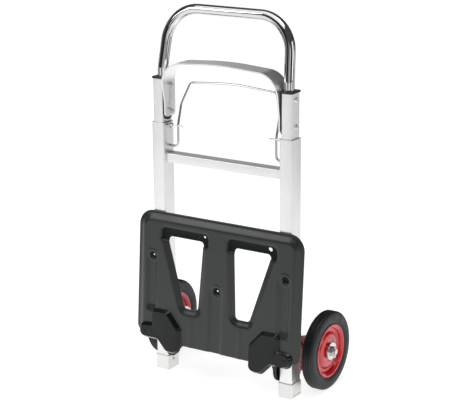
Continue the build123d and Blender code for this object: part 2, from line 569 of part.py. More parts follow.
def make_cheeks():
    """Side cheeks that carry the plate's tongue on the hinge bolts inside the uprights."""
    cheek_x = (inner_face - CHEEK_GAP - CHEEK_THICKNESS, inner_face - CHEEK_GAP)
    seat = PLATE_DEPTH - PLATE_SHEET

    def plate_point(up, out):
        return (PLATE_FOOT_Y - out * math.cos(lean) + up * math.sin(lean),
                PLATE_FOOT_Z + out * math.sin(lean) + up * math.cos(lean))

    arm = make_face(Polyline(plate_point(4, seat), plate_point(58, seat), plate_point(58, seat - 12),
                             (toe_pivot_y, toe_pivot_z + CHEEK_R * 0.98), (toe_pivot_y, toe_pivot_z),
                             (toe_pivot_y - CHEEK_R * 0.9, toe_pivot_z - 5), plate_point(4, -3),
                             close=True))
    disc = Pos(toe_pivot_y, toe_pivot_z) * Circle(CHEEK_R)
    bush_r = TOE_BOLT_R + 3
    profile = arm + disc - Pos(toe_pivot_y, toe_pivot_z) * Circle(bush_r)
    add_pair("hinge_cheek", Pos(cheek_x[0], 0, 0) * extrude(Plane.YZ * profile, CHEEK_THICKNESS))
    bush = x_rod(bush_r, cheek_x, toe_pivot_y, toe_pivot_z)
    bush -= x_rod(TOE_BOLT_R + RUNNING_CLEARANCE, (cheek_x[0] - 1, cheek_x[1] + 1), toe_pivot_y,
                  toe_pivot_z)
    parts["hinge_bushes"] = both_sides(bush)
    bolt = x_rod(TOE_BOLT_R, (cheek_x[0] - 1, inner_face + UPRIGHT_WALL + 6), toe_pivot_y, toe_pivot_z)
    head = (cheek_x[0] - 0.6 - TOE_BOLT_HEAD_H, cheek_x[0] - 0.6)
    bolt += x_hexagon(2 * TOE_BOLT_HEAD_R - 3, head, toe_pivot_y, toe_pivot_z)
    bolt += x_rod(TOE_BOLT_HEAD_R, (inner_face - CHEEK_GAP + 0.6, inner_face), toe_pivot_y, toe_pivot_z)
    bolt += x_hexagon(2 * TOE_BOLT_HEAD_R - 3, (inner_face + UPRIGHT_WALL, inner_face + UPRIGHT_WALL + 5),
                      toe_pivot_y, toe_pivot_z)
    parts["toe_hinge_bolts"] = both_sides(bolt)


# --- wheel brackets and wheels -------------------------------------------------------------
def make_brackets():
    ear_low = (bracket_bottom - MOUNT_GAP - MOUNT_SHEET, bracket_bottom - MOUNT_GAP)
    ear_high = (bracket_top + MOUNT_GAP, bracket_top + MOUNT_GAP + MOUNT_SHEET)
    back_y = (UPRIGHT_DEPTH, UPRIGHT_DEPTH + MOUNT_SHEET)
    side_x = (upright_x - UPRIGHT_WIDTH / 2 + 1, upright_x + UPRIGHT_WIDTH / 2 - 1)
    mount = box(side_x, back_y, (ear_low[0], ear_high[1]))
    ear_r = BRACKET_TUBE_R + 1.5
    for ear in (ear_low, ear_high):
        mount += box((upright_x - ear_r, upright_x + ear_r), (back_y[0], bracket_pin_y), ear)
        mount += z_rod(ear_r, upright_x, bracket_pin_y, ear)
    mount -= z_rod(BRACKET_PIN_R, upright_x, bracket_pin_y, (0, 2 * bracket_top))
    for z in mount_rivet_z:
        mount -= y_rod(RIVET_R, upright_x, (back_y[0] - 1, back_y[1] + 1), z)
    add_pair("wheel_mount", mount)
    rivets = []
    for z in mount_rivet_z:
        rivet = y_rod(RIVET_R, upright_x, (UPRIGHT_DEPTH - UPRIGHT_WALL, back_y[1] + 0.1), z)
        head = y_rod(RIVET_HEAD_R, upright_x, (back_y[1], back_y[1] + RIVET_HEAD_H), z)
        rivets.append(rivet + fillet(head.edges().sort_by(Axis.Y)[-1], 0.7))
    parts["mount_rivets"] = both_sides(group(rivets))
    pin = z_rod(BRACKET_PIN_R, upright_x, bracket_pin_y, (ear_low[0] - 1, ear_high[1] + 0.1))
    pin += z_rod(BRACKET_PIN_R + 2, upright_x, bracket_pin_y, (ear_high[1], ear_high[1] + 2.5))
    pin += z_rod(BRACKET_PIN_R + 1.5, upright_x, bracket_pin_y, (ear_low[0] - 2, ear_low[0]))
    add_pair("bracket_pin", pin)

    plate_x = (bracket_plate_x - BRACKET_SHEET / 2, bracket_plate_x + BRACKET_SHEET / 2)
    tube_z = (bracket_bottom, bracket_top)
    eye = Pos(wheel_y, TYRE_R) * Circle(BRACKET_EYE_R)
    web = make_face(Polyline((bracket_pin_y, bracket_bottom), (bracket_pin_y, bracket_top),
                             (wheel_y + 9, TYRE_R + BRACKET_EYE_R * 0.947),
                             (wheel_y + 9, TYRE_R - BRACKET_EYE_R * 0.947), close=True))
    profile = eye + web - Pos(wheel_y, TYRE_R) * Circle(AXLE_R)
    arm = Pos(plate_x[0], 0, 0) * extrude(Plane.YZ * profile, BRACKET_SHEET)
    arm += z_rod(BRACKET_TUBE_R, upright_x, bracket_pin_y, tube_z)
    arm += box((upright_x, plate_x[1]), (bracket_pin_y - 3, bracket_pin_y + 3), tube_z)
    arm -= z_rod(BRACKET_PIN_R + RUNNING_CLEARANCE, upright_x, bracket_pin_y, (0, 2 * bracket_top))
    add_pair("bracket_arm", arm)

    hub_inner = wheel_x - HUB_WIDTH / 2
    hub_outer = wheel_x + HUB_WIDTH / 2
    washer_x = (hub_outer + 0.5, hub_outer + 0.5 + WASHER_THICKNESS)
    nut_x = (washer_x[1], washer_x[1] + AXLE_NUT_HEIGHT)
    axle = x_rod(AXLE_R, (plate_x[0] - 7, nut_x[1] + AXLE_STICKOUT - 5), wheel_y, TYRE_R)
    axle += x_rod(AXLE_R + 5, (plate_x[1], hub_inner - 0.5), wheel_y, TYRE_R)
    axle += x_hexagon(17, (plate_x[0] - 6, plate_x[0]), wheel_y, TYRE_R)
    pin_x = nut_x[1] + 1.6
    axle -= z_rod(1.2, pin_x, wheel_y, (TYRE_R - 2 * AXLE_R, TYRE_R + 2 * AXLE_R))
    add_pair("axle", axle)
    washer = x_rod(WASHER_R, washer_x, wheel_y, TYRE_R)
    washer -= x_rod(AXLE_R, (washer_x[0] - 1, washer_x[1] + 1), wheel_y, TYRE_R)
    add_pair("axle_washer", washer)
    nut = x_hexagon(2 * NUT_R - 2, nut_x, wheel_y, TYRE_R)
    nut -= x_rod(AXLE_R, (nut_x[0] - 1, nut_x[1] + 1), wheel_y, TYRE_R)
    add_pair("axle_nut", nut)
    split_pin = z_rod(1.2, pin_x, wheel_y, (TYRE_R - AXLE_R - 7, TYRE_R + AXLE_R + 2))
    split_pin += Pos(pin_x, wheel_y, TYRE_R + AXLE_R + 3.5) * Rot(0, 90, 0) * Torus(2.6, 1.1)
    add_pair("split_pin", split_pin)


def revolve_wheel(points):
    """Turn a profile of (distance from the wheel's middle plane, radius) about the axle."""
    face = make_face(Polyline(*points, close=True))
    turned = revolve(Plane.XY * face, axis=Axis.X, revolution_arc=360)
    return Pos(wheel_x, wheel_y, TYRE_R) * turned


def make_wheels():
    half = TYRE_WIDTH / 2
    shoulder = half - 4.5
    groove = TREAD_GROOVE
    tread = []
    for middle in (-5.0, 0.0, 5.0):
        tread += [(middle - groove / 2 - 0.4, TYRE_R), (middle - groove / 2, TYRE_R - groove),
                  (middle + groove / 2, TYRE_R - groove), (middle + groove / 2 + 0.4, TYRE_R)]
    side = [(half - 1.5, TYRE_R - 3), (half, TYRE_R - 9), (half, rim_lip_r + 9),
            (half - 3, rim_lip_r + 1.5), (half - 3, tyre_bore_r + 3), (half - 6, tyre_bore_r)]
    profile = [(-x, r) for x, r in reversed(side)] + [(-shoulder, TYRE_R)] + tread
    profile += [(shoulder, TYRE_R)] + side
    add_pair("tyre", revolve_wheel(profile))

    lip = half - 3
    seat = half - 6
    sheet = RIM_SHEET
    well_r = tyre_bore_r - 13
    dish_r = tyre_bore_r - 20
    boss_r = HUB_R + 6
    outer_rim = [(0, tyre_bore_r), (seat, tyre_bore_r), (lip, tyre_bore_r + 3), (lip, rim_lip_r),
                 (lip + 1.6, rim_lip_r), (lip + 1.6, tyre_bore_r + 1.5),
                 (seat + 1, tyre_bore_r - sheet - 1), (sheet + 1, tyre_bore_r - sheet - 3),
                 (sheet, well_r), (sheet + 5, dish_r), (sheet + 7, boss_r), (sheet + 7, HUB_R),
                 (7, HUB_R), (7, boss_r), (5, dish_r), (0, well_r)]
    add_pair("rim_outer", revolve_wheel(outer_rim))
    inner_rim = [(-x, r) for x, r in outer_rim]
    add_pair("rim_inner", revolve_wheel(inner_rim))
    hub = x_rod(HUB_R, (wheel_x - HUB_WIDTH / 2, wheel_x + HUB_WIDTH / 2), wheel_y, TYRE_R)
    hub -= x_rod(AXLE_R + RUNNING_CLEARANCE, (wheel_x - HUB_WIDTH, wheel_x + HUB_WIDTH), wheel_y, TYRE_R)
    add_pair("hub", hub)


make_frame()
make_inner_tubes()
make_grip()
make_bow()
make_release()
make_toe_plate()
make_lugs()
make_cheeks()
make_brackets()
make_wheels()

bounds = Compound(list(parts.values())).bounding_box()
shift = Pos(0, -(bounds.min.Y + bounds.max.Y) / 2, 0)
os.makedirs("parts", exist_ok=True)
for name, shape in parts.items():
    export_step(shift * shape, f"parts/{name}.step")

shift_y = shift.position.Y
print("nodes", len(parts), "size", bounds.size, "shift y", round(shift_y, 3))
print("toe hinge y z", round(toe_pivot_y + shift_y, 3), round(toe_pivot_z, 3))
print("bail hinge y z", round(bail_y + shift_y, 3), bail_pivot_z)
print("bracket hinge x y", upright_x, round(bracket_pin_y + shift_y, 3))
print("wheel axis y z", round(wheel_y + shift_y, 3), TYRE_R)
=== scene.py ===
# %% [markdown]
# # A folding hand truck
# The truck has a satin aluminium frame, a chrome grip on two sliding tubes, a pressed toe plate
# that is folded up against the uprights and two rubber wheels with red pressed rims.
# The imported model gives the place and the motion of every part. This script gives the surfaces:
# rounded edges, pressed sheet, bent tube and wire, turned wheels and a finish for each material.

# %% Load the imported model
import json
import math
import bmesh
import bpy
import numpy as np
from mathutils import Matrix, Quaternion, Vector
from mathutils.geometry import delaunay_2d_cdt


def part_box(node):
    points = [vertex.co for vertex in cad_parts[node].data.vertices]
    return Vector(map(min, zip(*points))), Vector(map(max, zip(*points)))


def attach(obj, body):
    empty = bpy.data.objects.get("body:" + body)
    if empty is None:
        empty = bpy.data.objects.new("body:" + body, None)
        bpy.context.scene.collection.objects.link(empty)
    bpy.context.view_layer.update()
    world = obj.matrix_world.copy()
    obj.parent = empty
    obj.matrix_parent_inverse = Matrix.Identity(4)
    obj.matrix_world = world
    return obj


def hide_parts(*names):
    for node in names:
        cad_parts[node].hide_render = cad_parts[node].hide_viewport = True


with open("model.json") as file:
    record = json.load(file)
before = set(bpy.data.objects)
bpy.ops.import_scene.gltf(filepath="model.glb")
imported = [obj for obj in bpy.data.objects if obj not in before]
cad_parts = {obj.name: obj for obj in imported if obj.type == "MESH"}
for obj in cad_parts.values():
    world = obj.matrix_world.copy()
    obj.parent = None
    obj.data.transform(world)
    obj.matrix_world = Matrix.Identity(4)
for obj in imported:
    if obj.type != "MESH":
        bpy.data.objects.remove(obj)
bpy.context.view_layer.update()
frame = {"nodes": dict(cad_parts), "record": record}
record = frame["record"]
body_of = {node: body for body, nodes in record["behaviour"]["bodies"].items() for node in nodes}
slot_of = {part["node"]: part["material_slot"] for part in record["subparts"]}
MM = 0.001
SIDES = (("left", -1), ("right", 1))

# %% [markdown]
# ## Camera
# A long lens from the front right, a little above the truck, keeps the uprights nearly parallel.
# The camera sits on a sphere round a target point, so its place is two angles and a distance,
# which are easier to adjust than three coordinates.

# %% Place the camera
CAMERA_AZIMUTH = 32.9
CAMERA_ELEVATION = 15.86
CAMERA_ROLL = -0.49
CAMERA_DISTANCE = 3.107
CAMERA_LENS = 117.6
CAMERA_REACH = 100
CAMERA_TARGET = Vector((0.0204, -0.0694, 0.4115))


def direction(azimuth, elevation):
    """Unit vector from the target towards a point on the sphere, angles in degrees."""
    a, e = math.radians(azimuth), math.radians(elevation)
    return Vector((math.sin(a) * math.cos(e), -math.cos(a) * math.cos(e), math.sin(e)))


scene = bpy.context.scene
camera = bpy.data.objects.new("camera", bpy.data.cameras.new("camera"))
scene.collection.objects.link(camera)
back = direction(CAMERA_AZIMUTH, CAMERA_ELEVATION)
camera.location = CAMERA_TARGET + back * CAMERA_DISTANCE
turn = (-back).to_track_quat("-Z", "Y") @ Quaternion((0, 0, 1), math.radians(CAMERA_ROLL))
camera.rotation_mode = "QUATERNION"
camera.rotation_quaternion = turn
camera.data.lens = CAMERA_LENS
camera.data.clip_end = CAMERA_REACH
scene.camera = camera
print("camera", CAMERA_DISTANCE, "m from its target, lens", CAMERA_LENS, "mm")

# %% [markdown]
# ## Materials
# Every finish is a Principled shader with a few procedural nodes. A small toolbox comes first:
# one function starts a material, one adds noise in object coordinates, and others turn noise into
# roughness, colour or bump. Stretching the noise along one axis makes drawn metal out of the same
# nodes.

# %% Material toolbox


def start_material(name, color, metallic, roughness, **sockets):
    """A Principled material with fixed values on the shader's own sockets."""
    material = bpy.data.materials.new(name)
    material.use_nodes = True
    shader = material.node_tree.nodes["Principled BSDF"]
    shader.inputs["Base Color"].default_value = (*color, 1)
    shader.inputs["Metallic"].default_value = metallic
    shader.inputs["Roughness"].default_value = roughness
    for socket, value in sockets.items():
        shader.inputs[socket.replace("_", " ")].default_value = value
    material.diffuse_color = (*color, 1)
    return material


def add_noise(material, scale, stretch=(1, 1, 1), detail=3.0):
    """Noise in object coordinates; stretch squeezes the pattern along each axis."""
    nodes, links = material.node_tree.nodes, material.node_tree.links
    place = nodes.new("ShaderNodeTexCoord")
    mapping = nodes.new("ShaderNodeMapping")
    mapping.inputs["Scale"].default_value = stretch
    noise = nodes.new("ShaderNodeTexNoise")
    noise.inputs["Scale"].default_value = scale
    noise.inputs["Detail"].default_value = detail
    links.new(place.outputs["Object"], mapping.inputs["Vector"])
    links.new(mapping.outputs["Vector"], noise.inputs["Vector"])
    return noise.outputs["Fac"]


def spread(material, value, low, high, start=0.3, end=0.7):
    """Map a value from the range start..end to low..high."""
    node = material.node_tree.nodes.new("ShaderNodeMapRange")
    node.inputs["From Min"].default_value = start
    node.inputs["From Max"].default_value = end
    node.inputs["To Min"].default_value = low
    node.inputs["To Max"].default_value = high
    material.node_tree.links.new(value, node.inputs["Value"])
    return node.outputs["Result"]


def vary_roughness(material, value, low, high):
    """Roughness that follows a noise."""
    shader = material.node_tree.nodes["Principled BSDF"]
    material.node_tree.links.new(spread(material, value, low, high), shader.inputs["Roughness"])


def vary_color(material, value, dark, light, start=0.3, end=0.7):
    """Base colour between two tones that follows a noise."""
    nodes, links = material.node_tree.nodes, material.node_tree.links
    mix = nodes.new("ShaderNodeMix")
    mix.data_type = "RGBA"
    mix.inputs["A"].default_value = (*dark, 1)
    mix.inputs["B"].default_value = (*light, 1)
    links.new(spread(material, value, 0, 1, start, end), mix.inputs["Factor"])
    links.new(mix.outputs["Result"], nodes["Principled BSDF"].inputs["Base Color"])


def add_bump(material, value, strength, distance):
    """Bump from a value, chained in front of any bump that is already there."""
    nodes, links = material.node_tree.nodes, material.node_tree.links
    normal = nodes["Principled BSDF"].inputs["Normal"]
    bump = nodes.new("ShaderNodeBump")
    bump.inputs["Strength"].default_value = strength
    bump.inputs["Distance"].default_value = distance
    links.new(value, bump.inputs["Height"])
    if normal.is_linked:
        links.new(normal.links[0].from_socket, bump.inputs["Normal"])
    links.new(bump.outputs["Normal"], normal)


print("material tools: start, noise, spread, roughness, colour, bump")

# %% [markdown]
# Aluminium profile comes from the press with fine lines along its length and is then anodised
# satin, so its shine is broad and pale. The lines run up the uprights, across the crossbar and
# along the bow, so the same recipe is used once for each direction.

# %% Aluminium, chrome and zinc
DRAW_STRETCH = 0.012


def drawn_aluminium(name, along):
    """Satin anodised aluminium with draw lines along one axis (0, 1 or 2)."""
    stretch = [1.0, 1.0, 1.0]
    stretch[along] = DRAW_STRETCH
    material = start_material(name, (0.84, 0.84, 0.835), 0.9, 0.36)
    lines = add_noise(material, 1400, stretch, 2.0)
    clouds = add_noise(material, 9, detail=4.0)
    vary_roughness(material, lines, 0.3, 0.44)
    vary_color(material, clouds, (0.81, 0.81, 0.805), (0.87, 0.87, 0.865))
    add_bump(material, lines, 0.12, 0.00004)
    return material


aluminium_up = drawn_aluminium("satin_aluminium", 2)
aluminium_across = drawn_aluminium("satin_aluminium_across", 0)

foot_metal = start_material("cast_aluminium", (0.86, 0.86, 0.85), 0.6, 0.38)
vary_roughness(foot_metal, add_noise(foot_metal, 60), 0.32, 0.46)
add_bump(foot_metal, add_noise(foot_metal, 900), 0.1, 0.00006)

chrome = start_material("chrome", (0.62, 0.63, 0.64), 1.0, 0.05)
vary_roughness(chrome, add_noise(chrome, 14, detail=6.0), 0.03, 0.09)

zinc = start_material("zinc_steel", (0.72, 0.73, 0.74), 1.0, 0.28)
vary_color(zinc, add_noise(zinc, 70, detail=5.0), (0.6, 0.63, 0.68), (0.8, 0.79, 0.74))
vary_roughness(zinc, add_noise(zinc, 260), 0.2, 0.36)
print("metals", aluminium_up.name, aluminium_across.name, foot_metal.name, chrome.name, zinc.name)

# %% [markdown]
# The toe plate is powder coated: a dark, slightly green grey with a soft sheen and the faint
# orange peel that baked powder leaves. A mesh attribute turns the coat's sheen down where the sheet
# is pushed in: painted shade for the hollows, which reflect little of the room. The lugs and the hinge
# cheeks are gloss paint, the caps and spacers moulded nylon with a fine spark-eroded grain.

# %% Coatings, plastic and rubber
powder = start_material("black_powder_coat", (0.011, 0.0135, 0.014), 0.0, 0.36)
powder_peel = add_noise(powder, 420, detail=2.0)
powder_clouds = add_noise(powder, 11, detail=4.0)
vary_color(powder, powder_clouds, (0.009, 0.0118, 0.0122), (0.014, 0.0168, 0.0172))
vary_roughness(powder, powder_clouds, 0.3, 0.38)
add_bump(powder, powder_peel, 0.16, 0.00018)
# Painted shade: a mesh attribute turns the coat's sheen down in the scoops and dished holes, where the
# hollows are in shade.
painted_recess_shade = powder.node_tree.nodes.new("ShaderNodeAttribute")
painted_recess_shade.attribute_name = "painted_recess_shade"
powder.node_tree.links.new(spread(powder, painted_recess_shade.outputs["Fac"], 0.6, 0.05, 0.0, 0.7),
                           powder.node_tree.nodes["Principled BSDF"].inputs["Specular IOR Level"])

gloss_black = start_material("black_gloss_paint", (0.006, 0.007, 0.007), 0.0, 0.16,
                             Specular_IOR_Level=0.28)
add_bump(gloss_black, add_noise(gloss_black, 160, detail=2.0), 0.25, 0.0004)

nylon = start_material("black_plastic", (0.014, 0.014, 0.015), 0.0, 0.45)
vary_roughness(nylon, add_noise(nylon, 40), 0.38, 0.55)
add_bump(nylon, add_noise(nylon, 1500, detail=2.0), 0.2, 0.00008)

red_enamel = start_material("red_enamel", (0.58, 0.008, 0.02), 0.0, 0.25, Coat_Weight=0.5)
red_enamel.node_tree.nodes["Principled BSDF"].inputs["Coat Roughness"].default_value = 0.06
vary_color(red_enamel, add_noise(red_enamel, 24), (0.56, 0.006, 0.014), (0.68, 0.011, 0.022))
add_bump(red_enamel, add_noise(red_enamel, 300, detail=2.0), 0.1, 0.0001)

rubber = start_material("black_rubber", (0.012, 0.0135, 0.0145), 0.0, 0.45, Specular_IOR_Level=0.4)
rubber_dust = add_noise(rubber, 55, detail=6.0)
vary_color(rubber, rubber_dust, (0.009, 0.0105, 0.0115), (0.017, 0.019, 0.0205))
vary_roughness(rubber, rubber_dust, 0.42, 0.6)
add_bump(rubber, add_noise(rubber, 1100, detail=2.0), 0.2, 0.0001)

finish_of = {"satin_aluminium": aluminium_up, "cast_aluminium": foot_metal, "chrome": chrome,
             "zinc_steel": zinc, "black_powder_coat": powder, "black_gloss_paint": gloss_black,
             "black_plastic": nylon, "red_enamel": red_enamel, "black_rubber": rubber}
across = {"crossbar", "bow"}
for node, cad in frame["nodes"].items():
    cad.data.materials.clear()
    cad.data.materials.append(aluminium_across if node in across else finish_of[slot_of[node]])
print("finishes", len(finish_of) + 1)

# %% [markdown]
# ## Studio
# A big pale floor and a few softboxes. The floor has a glow of its own, so it stays white and the
# shadows on it are faint. The world carries soft bright and dark bands: satin metal blurs them
# into an even shine, and chrome shows them as the light and dark streaks that make it read as
# chrome. Dark cards stand round the truck as in a product studio. The camera doesn't see them and
# they cast no shadow, so they show only in reflections.

# %% Floor, world and lamps
FLOOR_SIZE = 60.0
WORLD_BANDS = 4
WORLD_STRENGTH = 0.5
KEY_POWER = 12
FILL_POWER = 7
TOP_POWER = 10
SUN_POWER = 1.0
FLOOR_GLOW = 0.8
WALL_EDGE = 0.3
WALL_DARK = 0.05
WALL_BRIGHT = 1.3
CEILING_START = 0.2
CEILING_END = 0.45
CEILING_LIGHT = 0.16
CARD_DISTANCE = 1.6
CARD_HEIGHT = 1.7
CARD_LIFT = 0.02
# Each card: its direction in degrees and its width.
CARDS = ((-66, 0.9), (-8, 0.5), (18, 0.25), (62, 0.5), (112, 0.6), (150, 0.35), (188, 0.8), (-120, 1.0))
# Each lamp: name, kind, power, size, azimuth, elevation and distance; a sun's size is its angle.
LAMPS = (("key", "AREA", KEY_POWER, 0.9, -45, 30, 2.4), ("fill", "AREA", FILL_POWER, 1.2, 95, 20, 2.6),
         ("top", "AREA", TOP_POWER, 0.8, 60, 75, 2.4),
         ("sun", "SUN", SUN_POWER, math.radians(60), -20, 68, 10))

floor_mesh = bpy.data.meshes.new("floor")
half_floor = FLOOR_SIZE / 2
floor_mesh.from_pydata([(-half_floor, -half_floor, 0), (half_floor, -half_floor, 0),
                        (half_floor, half_floor, 0), (-half_floor, half_floor, 0)], [], [(0, 1, 2, 3)])
floor = bpy.data.objects.new("floor", floor_mesh)
scene.collection.objects.link(floor)
floor_paint = start_material("pale_floor", (0.6, 0.6, 0.6), 0.0, 1.0, Emission_Strength=FLOOR_GLOW)
floor_paint.node_tree.nodes["Principled BSDF"].inputs["Emission Color"].default_value = (1, 1, 1, 1)
floor_mesh.materials.append(floor_paint)


def world_math(operation, a, b=None):
    """One math node of the world's tree; a and b are sockets or numbers."""
    node = world_nodes.new("ShaderNodeMath")
    node.operation = operation
    for value, socket in zip((a, b), node.inputs):
        if isinstance(value, (int, float)):
            socket.default_value = value
        elif value is not None:
            world_links.new(value, socket)
    return node.outputs[0]


def world_range(value, start, end, low, high):
    """A smooth step of a value from start..end to low..high."""
    node = world_nodes.new("ShaderNodeMapRange")
    node.interpolation_type = "SMOOTHSTEP"
    for socket, number in zip(node.inputs[1:5], (start, end, low, high)):
        socket.default_value = number
    world_links.new(value, node.inputs["Value"])
    return node.outputs["Result"]


world = bpy.data.worlds.new("studio")
scene.world = world
world.use_nodes = True
world_nodes, world_links = world.node_tree.nodes, world.node_tree.links
sky_place = world_nodes.new("ShaderNodeTexCoord")
sky_axes = world_nodes.new("ShaderNodeSeparateXYZ")
world_links.new(sky_place.outputs["Generated"], sky_axes.inputs[0])
compass = world_math("ARCTAN2", sky_axes.outputs["Y"], sky_axes.outputs["X"])
wave = world_math("SINE", world_math("MULTIPLY", compass, float(WORLD_BANDS)))
walls = world_range(wave, -WALL_EDGE, WALL_EDGE, WALL_DARK, WALL_BRIGHT)
ceiling = world_range(sky_axes.outputs["Z"], CEILING_START, CEILING_END, 0.0, 1.0)
sky = world_nodes.new("ShaderNodeMix")
sky.data_type = "FLOAT"
world_links.new(ceiling, sky.inputs["Factor"])
world_links.new(walls, sky.inputs["A"])
sky.inputs["B"].default_value = CEILING_LIGHT
world_links.new(sky.outputs["Result"], world_nodes["Background"].inputs["Color"])
world_nodes["Background"].inputs["Strength"].default_value = WORLD_STRENGTH


def aim(holder, azimuth, elevation, distance):
    """Put a lamp on a sphere round the truck, facing its middle."""
    away = direction(azimuth, elevation)
    holder.location = CAMERA_TARGET + away * distance
    holder.rotation_mode = "QUATERNION"
    holder.rotation_quaternion = (-away).to_track_quat("-Z", "Y")


def lamp(name, kind, power, size):
    """A soft lamp: a square panel, or a sun whose size is its angle."""
    light = bpy.data.lights.new(name, kind)
    light.energy = power
    if kind == "AREA":
        light.shape = "SQUARE"
        light.size = size
    else:
        light.angle = size
    holder = bpy.data.objects.new(name, light)
    scene.collection.objects.link(holder)
    return holder


card_paint = start_material("dark_card", (0.01, 0.01, 0.01), 0.0, 0.9)


def card(name, azimuth, distance, width, height):
    """A dark card that shows only in reflections."""
    away = direction(azimuth, 0)
    side = Vector((-away.y, away.x, 0)) * width / 2
    foot = Vector((CAMERA_TARGET.x, CAMERA_TARGET.y, CARD_LIFT)) + away * distance
    rise = Vector((0, 0, height))
    mesh = bpy.data.meshes.new(name)
    corners = [foot - side, foot + side, foot + side + rise, foot - side + rise]
    mesh.from_pydata(corners, [], [(0, 1, 2, 3)])
    mesh.materials.append(card_paint)
    piece = bpy.data.objects.new(name, mesh)
    scene.collection.objects.link(piece)
    piece.visible_camera = False
    piece.visible_diffuse = False
    piece.visible_shadow = False


for number, (azimuth, width) in enumerate(CARDS):
    card(f"card_{number}", azimuth, CARD_DISTANCE, width, CARD_HEIGHT)

for name, kind, power, size, azimuth, elevation, distance in LAMPS:
    aim(lamp(name, kind, power, size), azimuth, elevation, distance)
scene.view_settings.view_transform = "Standard"
print("lamps", len(LAMPS), "cards", len(CARDS))

# %% [markdown]
# ## Rounded edges for the machined parts
# Cut and moulded parts keep their CAD shape but never have razor edges. Each gets a finished
# copy: the loose triangles are merged, flat areas are joined again, and a small bevel rounds the
# edges so that they catch the light.

# %% Finish the plain parts
MERGE_DISTANCE = 2e-6
FLAT_ANGLE = 1


def put(name, mesh, body, material=None, stands_for=()):
    """Make a piece from a mesh, let it ride on a body and stand for CAD nodes."""
    piece = bpy.data.objects.new(name, mesh)
    scene.collection.objects.link(piece)
    if material is not None:
        mesh.materials.clear()
        mesh.materials.append(material)
    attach(piece, body)
    if stands_for:
        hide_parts(*stands_for)
    return piece


def smooth(mesh, angle=35):
    """Smooth shading that keeps edges sharper than the angle."""
    mesh.shade_smooth()
    mesh.set_sharp_from_angle(angle=math.radians(angle))


def round_edges(node, width, segments=2, angle=35):
    """A finished copy of a CAD node with its edges rounded."""
    cad = frame["nodes"][node]
    mesh = bpy.data.meshes.new(node + "_finished")
    shape = bmesh.new()
    shape.from_mesh(cad.data)
    bmesh.ops.remove_doubles(shape, verts=shape.verts, dist=MERGE_DISTANCE)
    bmesh.ops.dissolve_limit(shape, angle_limit=math.radians(FLAT_ANGLE), verts=shape.verts,
                             edges=shape.edges)
    shape.to_mesh(mesh)
    shape.free()
    smooth(mesh, angle)
    piece = put(node + "_finished", mesh, body_of[node], cad.data.materials[0], [node])
    bevel = piece.modifiers.new("edges", "BEVEL")
    bevel.width = width
    bevel.segments = segments
    bevel.limit_method = "ANGLE"
    bevel.angle_limit = math.radians(angle)
    bevel.harden_normals = True
    return piece


edge_width = {"crossbar": 0.5, "foot_screws": 0.25, "bow": 0.7, "lug_pins": 0.4,
              "lock_guide_left": 0.5, "lock_guide_right": 0.5, "toe_hinge_bolts": 0.4}
for side, _ in SIDES:
    for base, width in (("bracket_arm", 0.6), ("wheel_mount", 0.5), ("axle_nut", 0.5),
                        ("axle_washer", 0.4), ("axle", 0.5), ("hinge_cheek", 0.8), ("bow_spacer", 0.4),
                        ("glide_bush", 0.3), ("hub", 0.5), ("upright", 0.3), ("inner_tube", 0.3),
                        ("foot", 0.4), ("tube_cap", 0.4), ("lug", 1.1)):
        edge_width[f"{base}_{side}"] = width
for node, width in edge_width.items():
    round_edges(node, width * MM)
print("rounded", len(edge_width))

# %% [markdown]
# ## The pressed toe plate
# The plate is one sheet of 2 mm steel, pressed in a single stroke. A press can only push metal
# towards or away from the tool, so the whole shape is a height above the rim for each point of
# the sheet. The flat pattern is cut first, with its windows and holes, and filled with a fine
# grid. Each pressed feature is then a rule for the height: a bevel round the edge, sloping
# flanges round the windows, a scoop above each window, dished holes, shallow channels and faint
# ridges.

# %% Rules for the plate's height
plate_lo, plate_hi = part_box("toe_plate")
PLATE_LEAN = math.radians(4.46)
PLATE_FOOT = Vector((0, -0.093407, 0.079))
PLATE_HALF = 0.205
PLATE_LENGTH = 0.286
PLATE_SHEET = 0.002
FIELD = 0.009
BEVEL = 0.019
RIM = 0.0025
CORNER = 0.034
STEP_UP = 0.014
TONGUE_HALF = 0.1392
WINDOW = [(0.038, 0.236), (0.131, 0.236), (0.082, 0.083), (0.047, 0.083)]
WINDOW_CORNER = 0.009
FLANGE = 0.016
FLANGE_DROP = 0.005
FLANGE_TOP = 0.25
SCOOP_X = (0.021, 0.147)
SCOOP_LOW = 0.223
SCOOP_TOP = 0.258
SCOOP_DROP = 0.0075
SCOOP_SLOPE = 0.0065
FADE = 0.02
# Each channel: centre, half width, low end, high end and depth.
CHANNELS = ((0.166, 0.016, 0.06, 0.2, 0.0042), (0.0, 0.019, -0.1, 0.15, 0.0026))
CHANNEL_SIDE = 0.008
RIDGE_X, RIDGE_WIDTH, RIDGE_HEIGHT = 0.062, 0.006, 0.0011
RIDGE_TOP, RIDGE_FADE = 0.075, 0.03
DISH_FLAT, DISH_SLOPE, DISH_DROP = 0.0035, 0.0065, 0.0045
LIP_R, LIP_WIDTH, LIP_HEIGHT = 0.0115, 0.002, 0.0009
# Reach of the painted shade in the scoops and round the dished holes.
PAINTED_SHADE_EDGE, PAINTED_SHADE_R, PAINTED_SHADE_FADE = 0.005, 0.007, 0.003
DIMPLES = [(-0.166, 0.189), (0.166, 0.189), (0.0, 0.136)]
plate_up = Vector((0, math.sin(PLATE_LEAN), math.cos(PLATE_LEAN)))
plate_out = Vector((0, -math.cos(PLATE_LEAN), math.sin(PLATE_LEAN)))


def ease(t):
    """A smooth step from 0 to 1."""
    t = np.clip(t, 0, 1)
    return t * t * (3 - 2 * t)


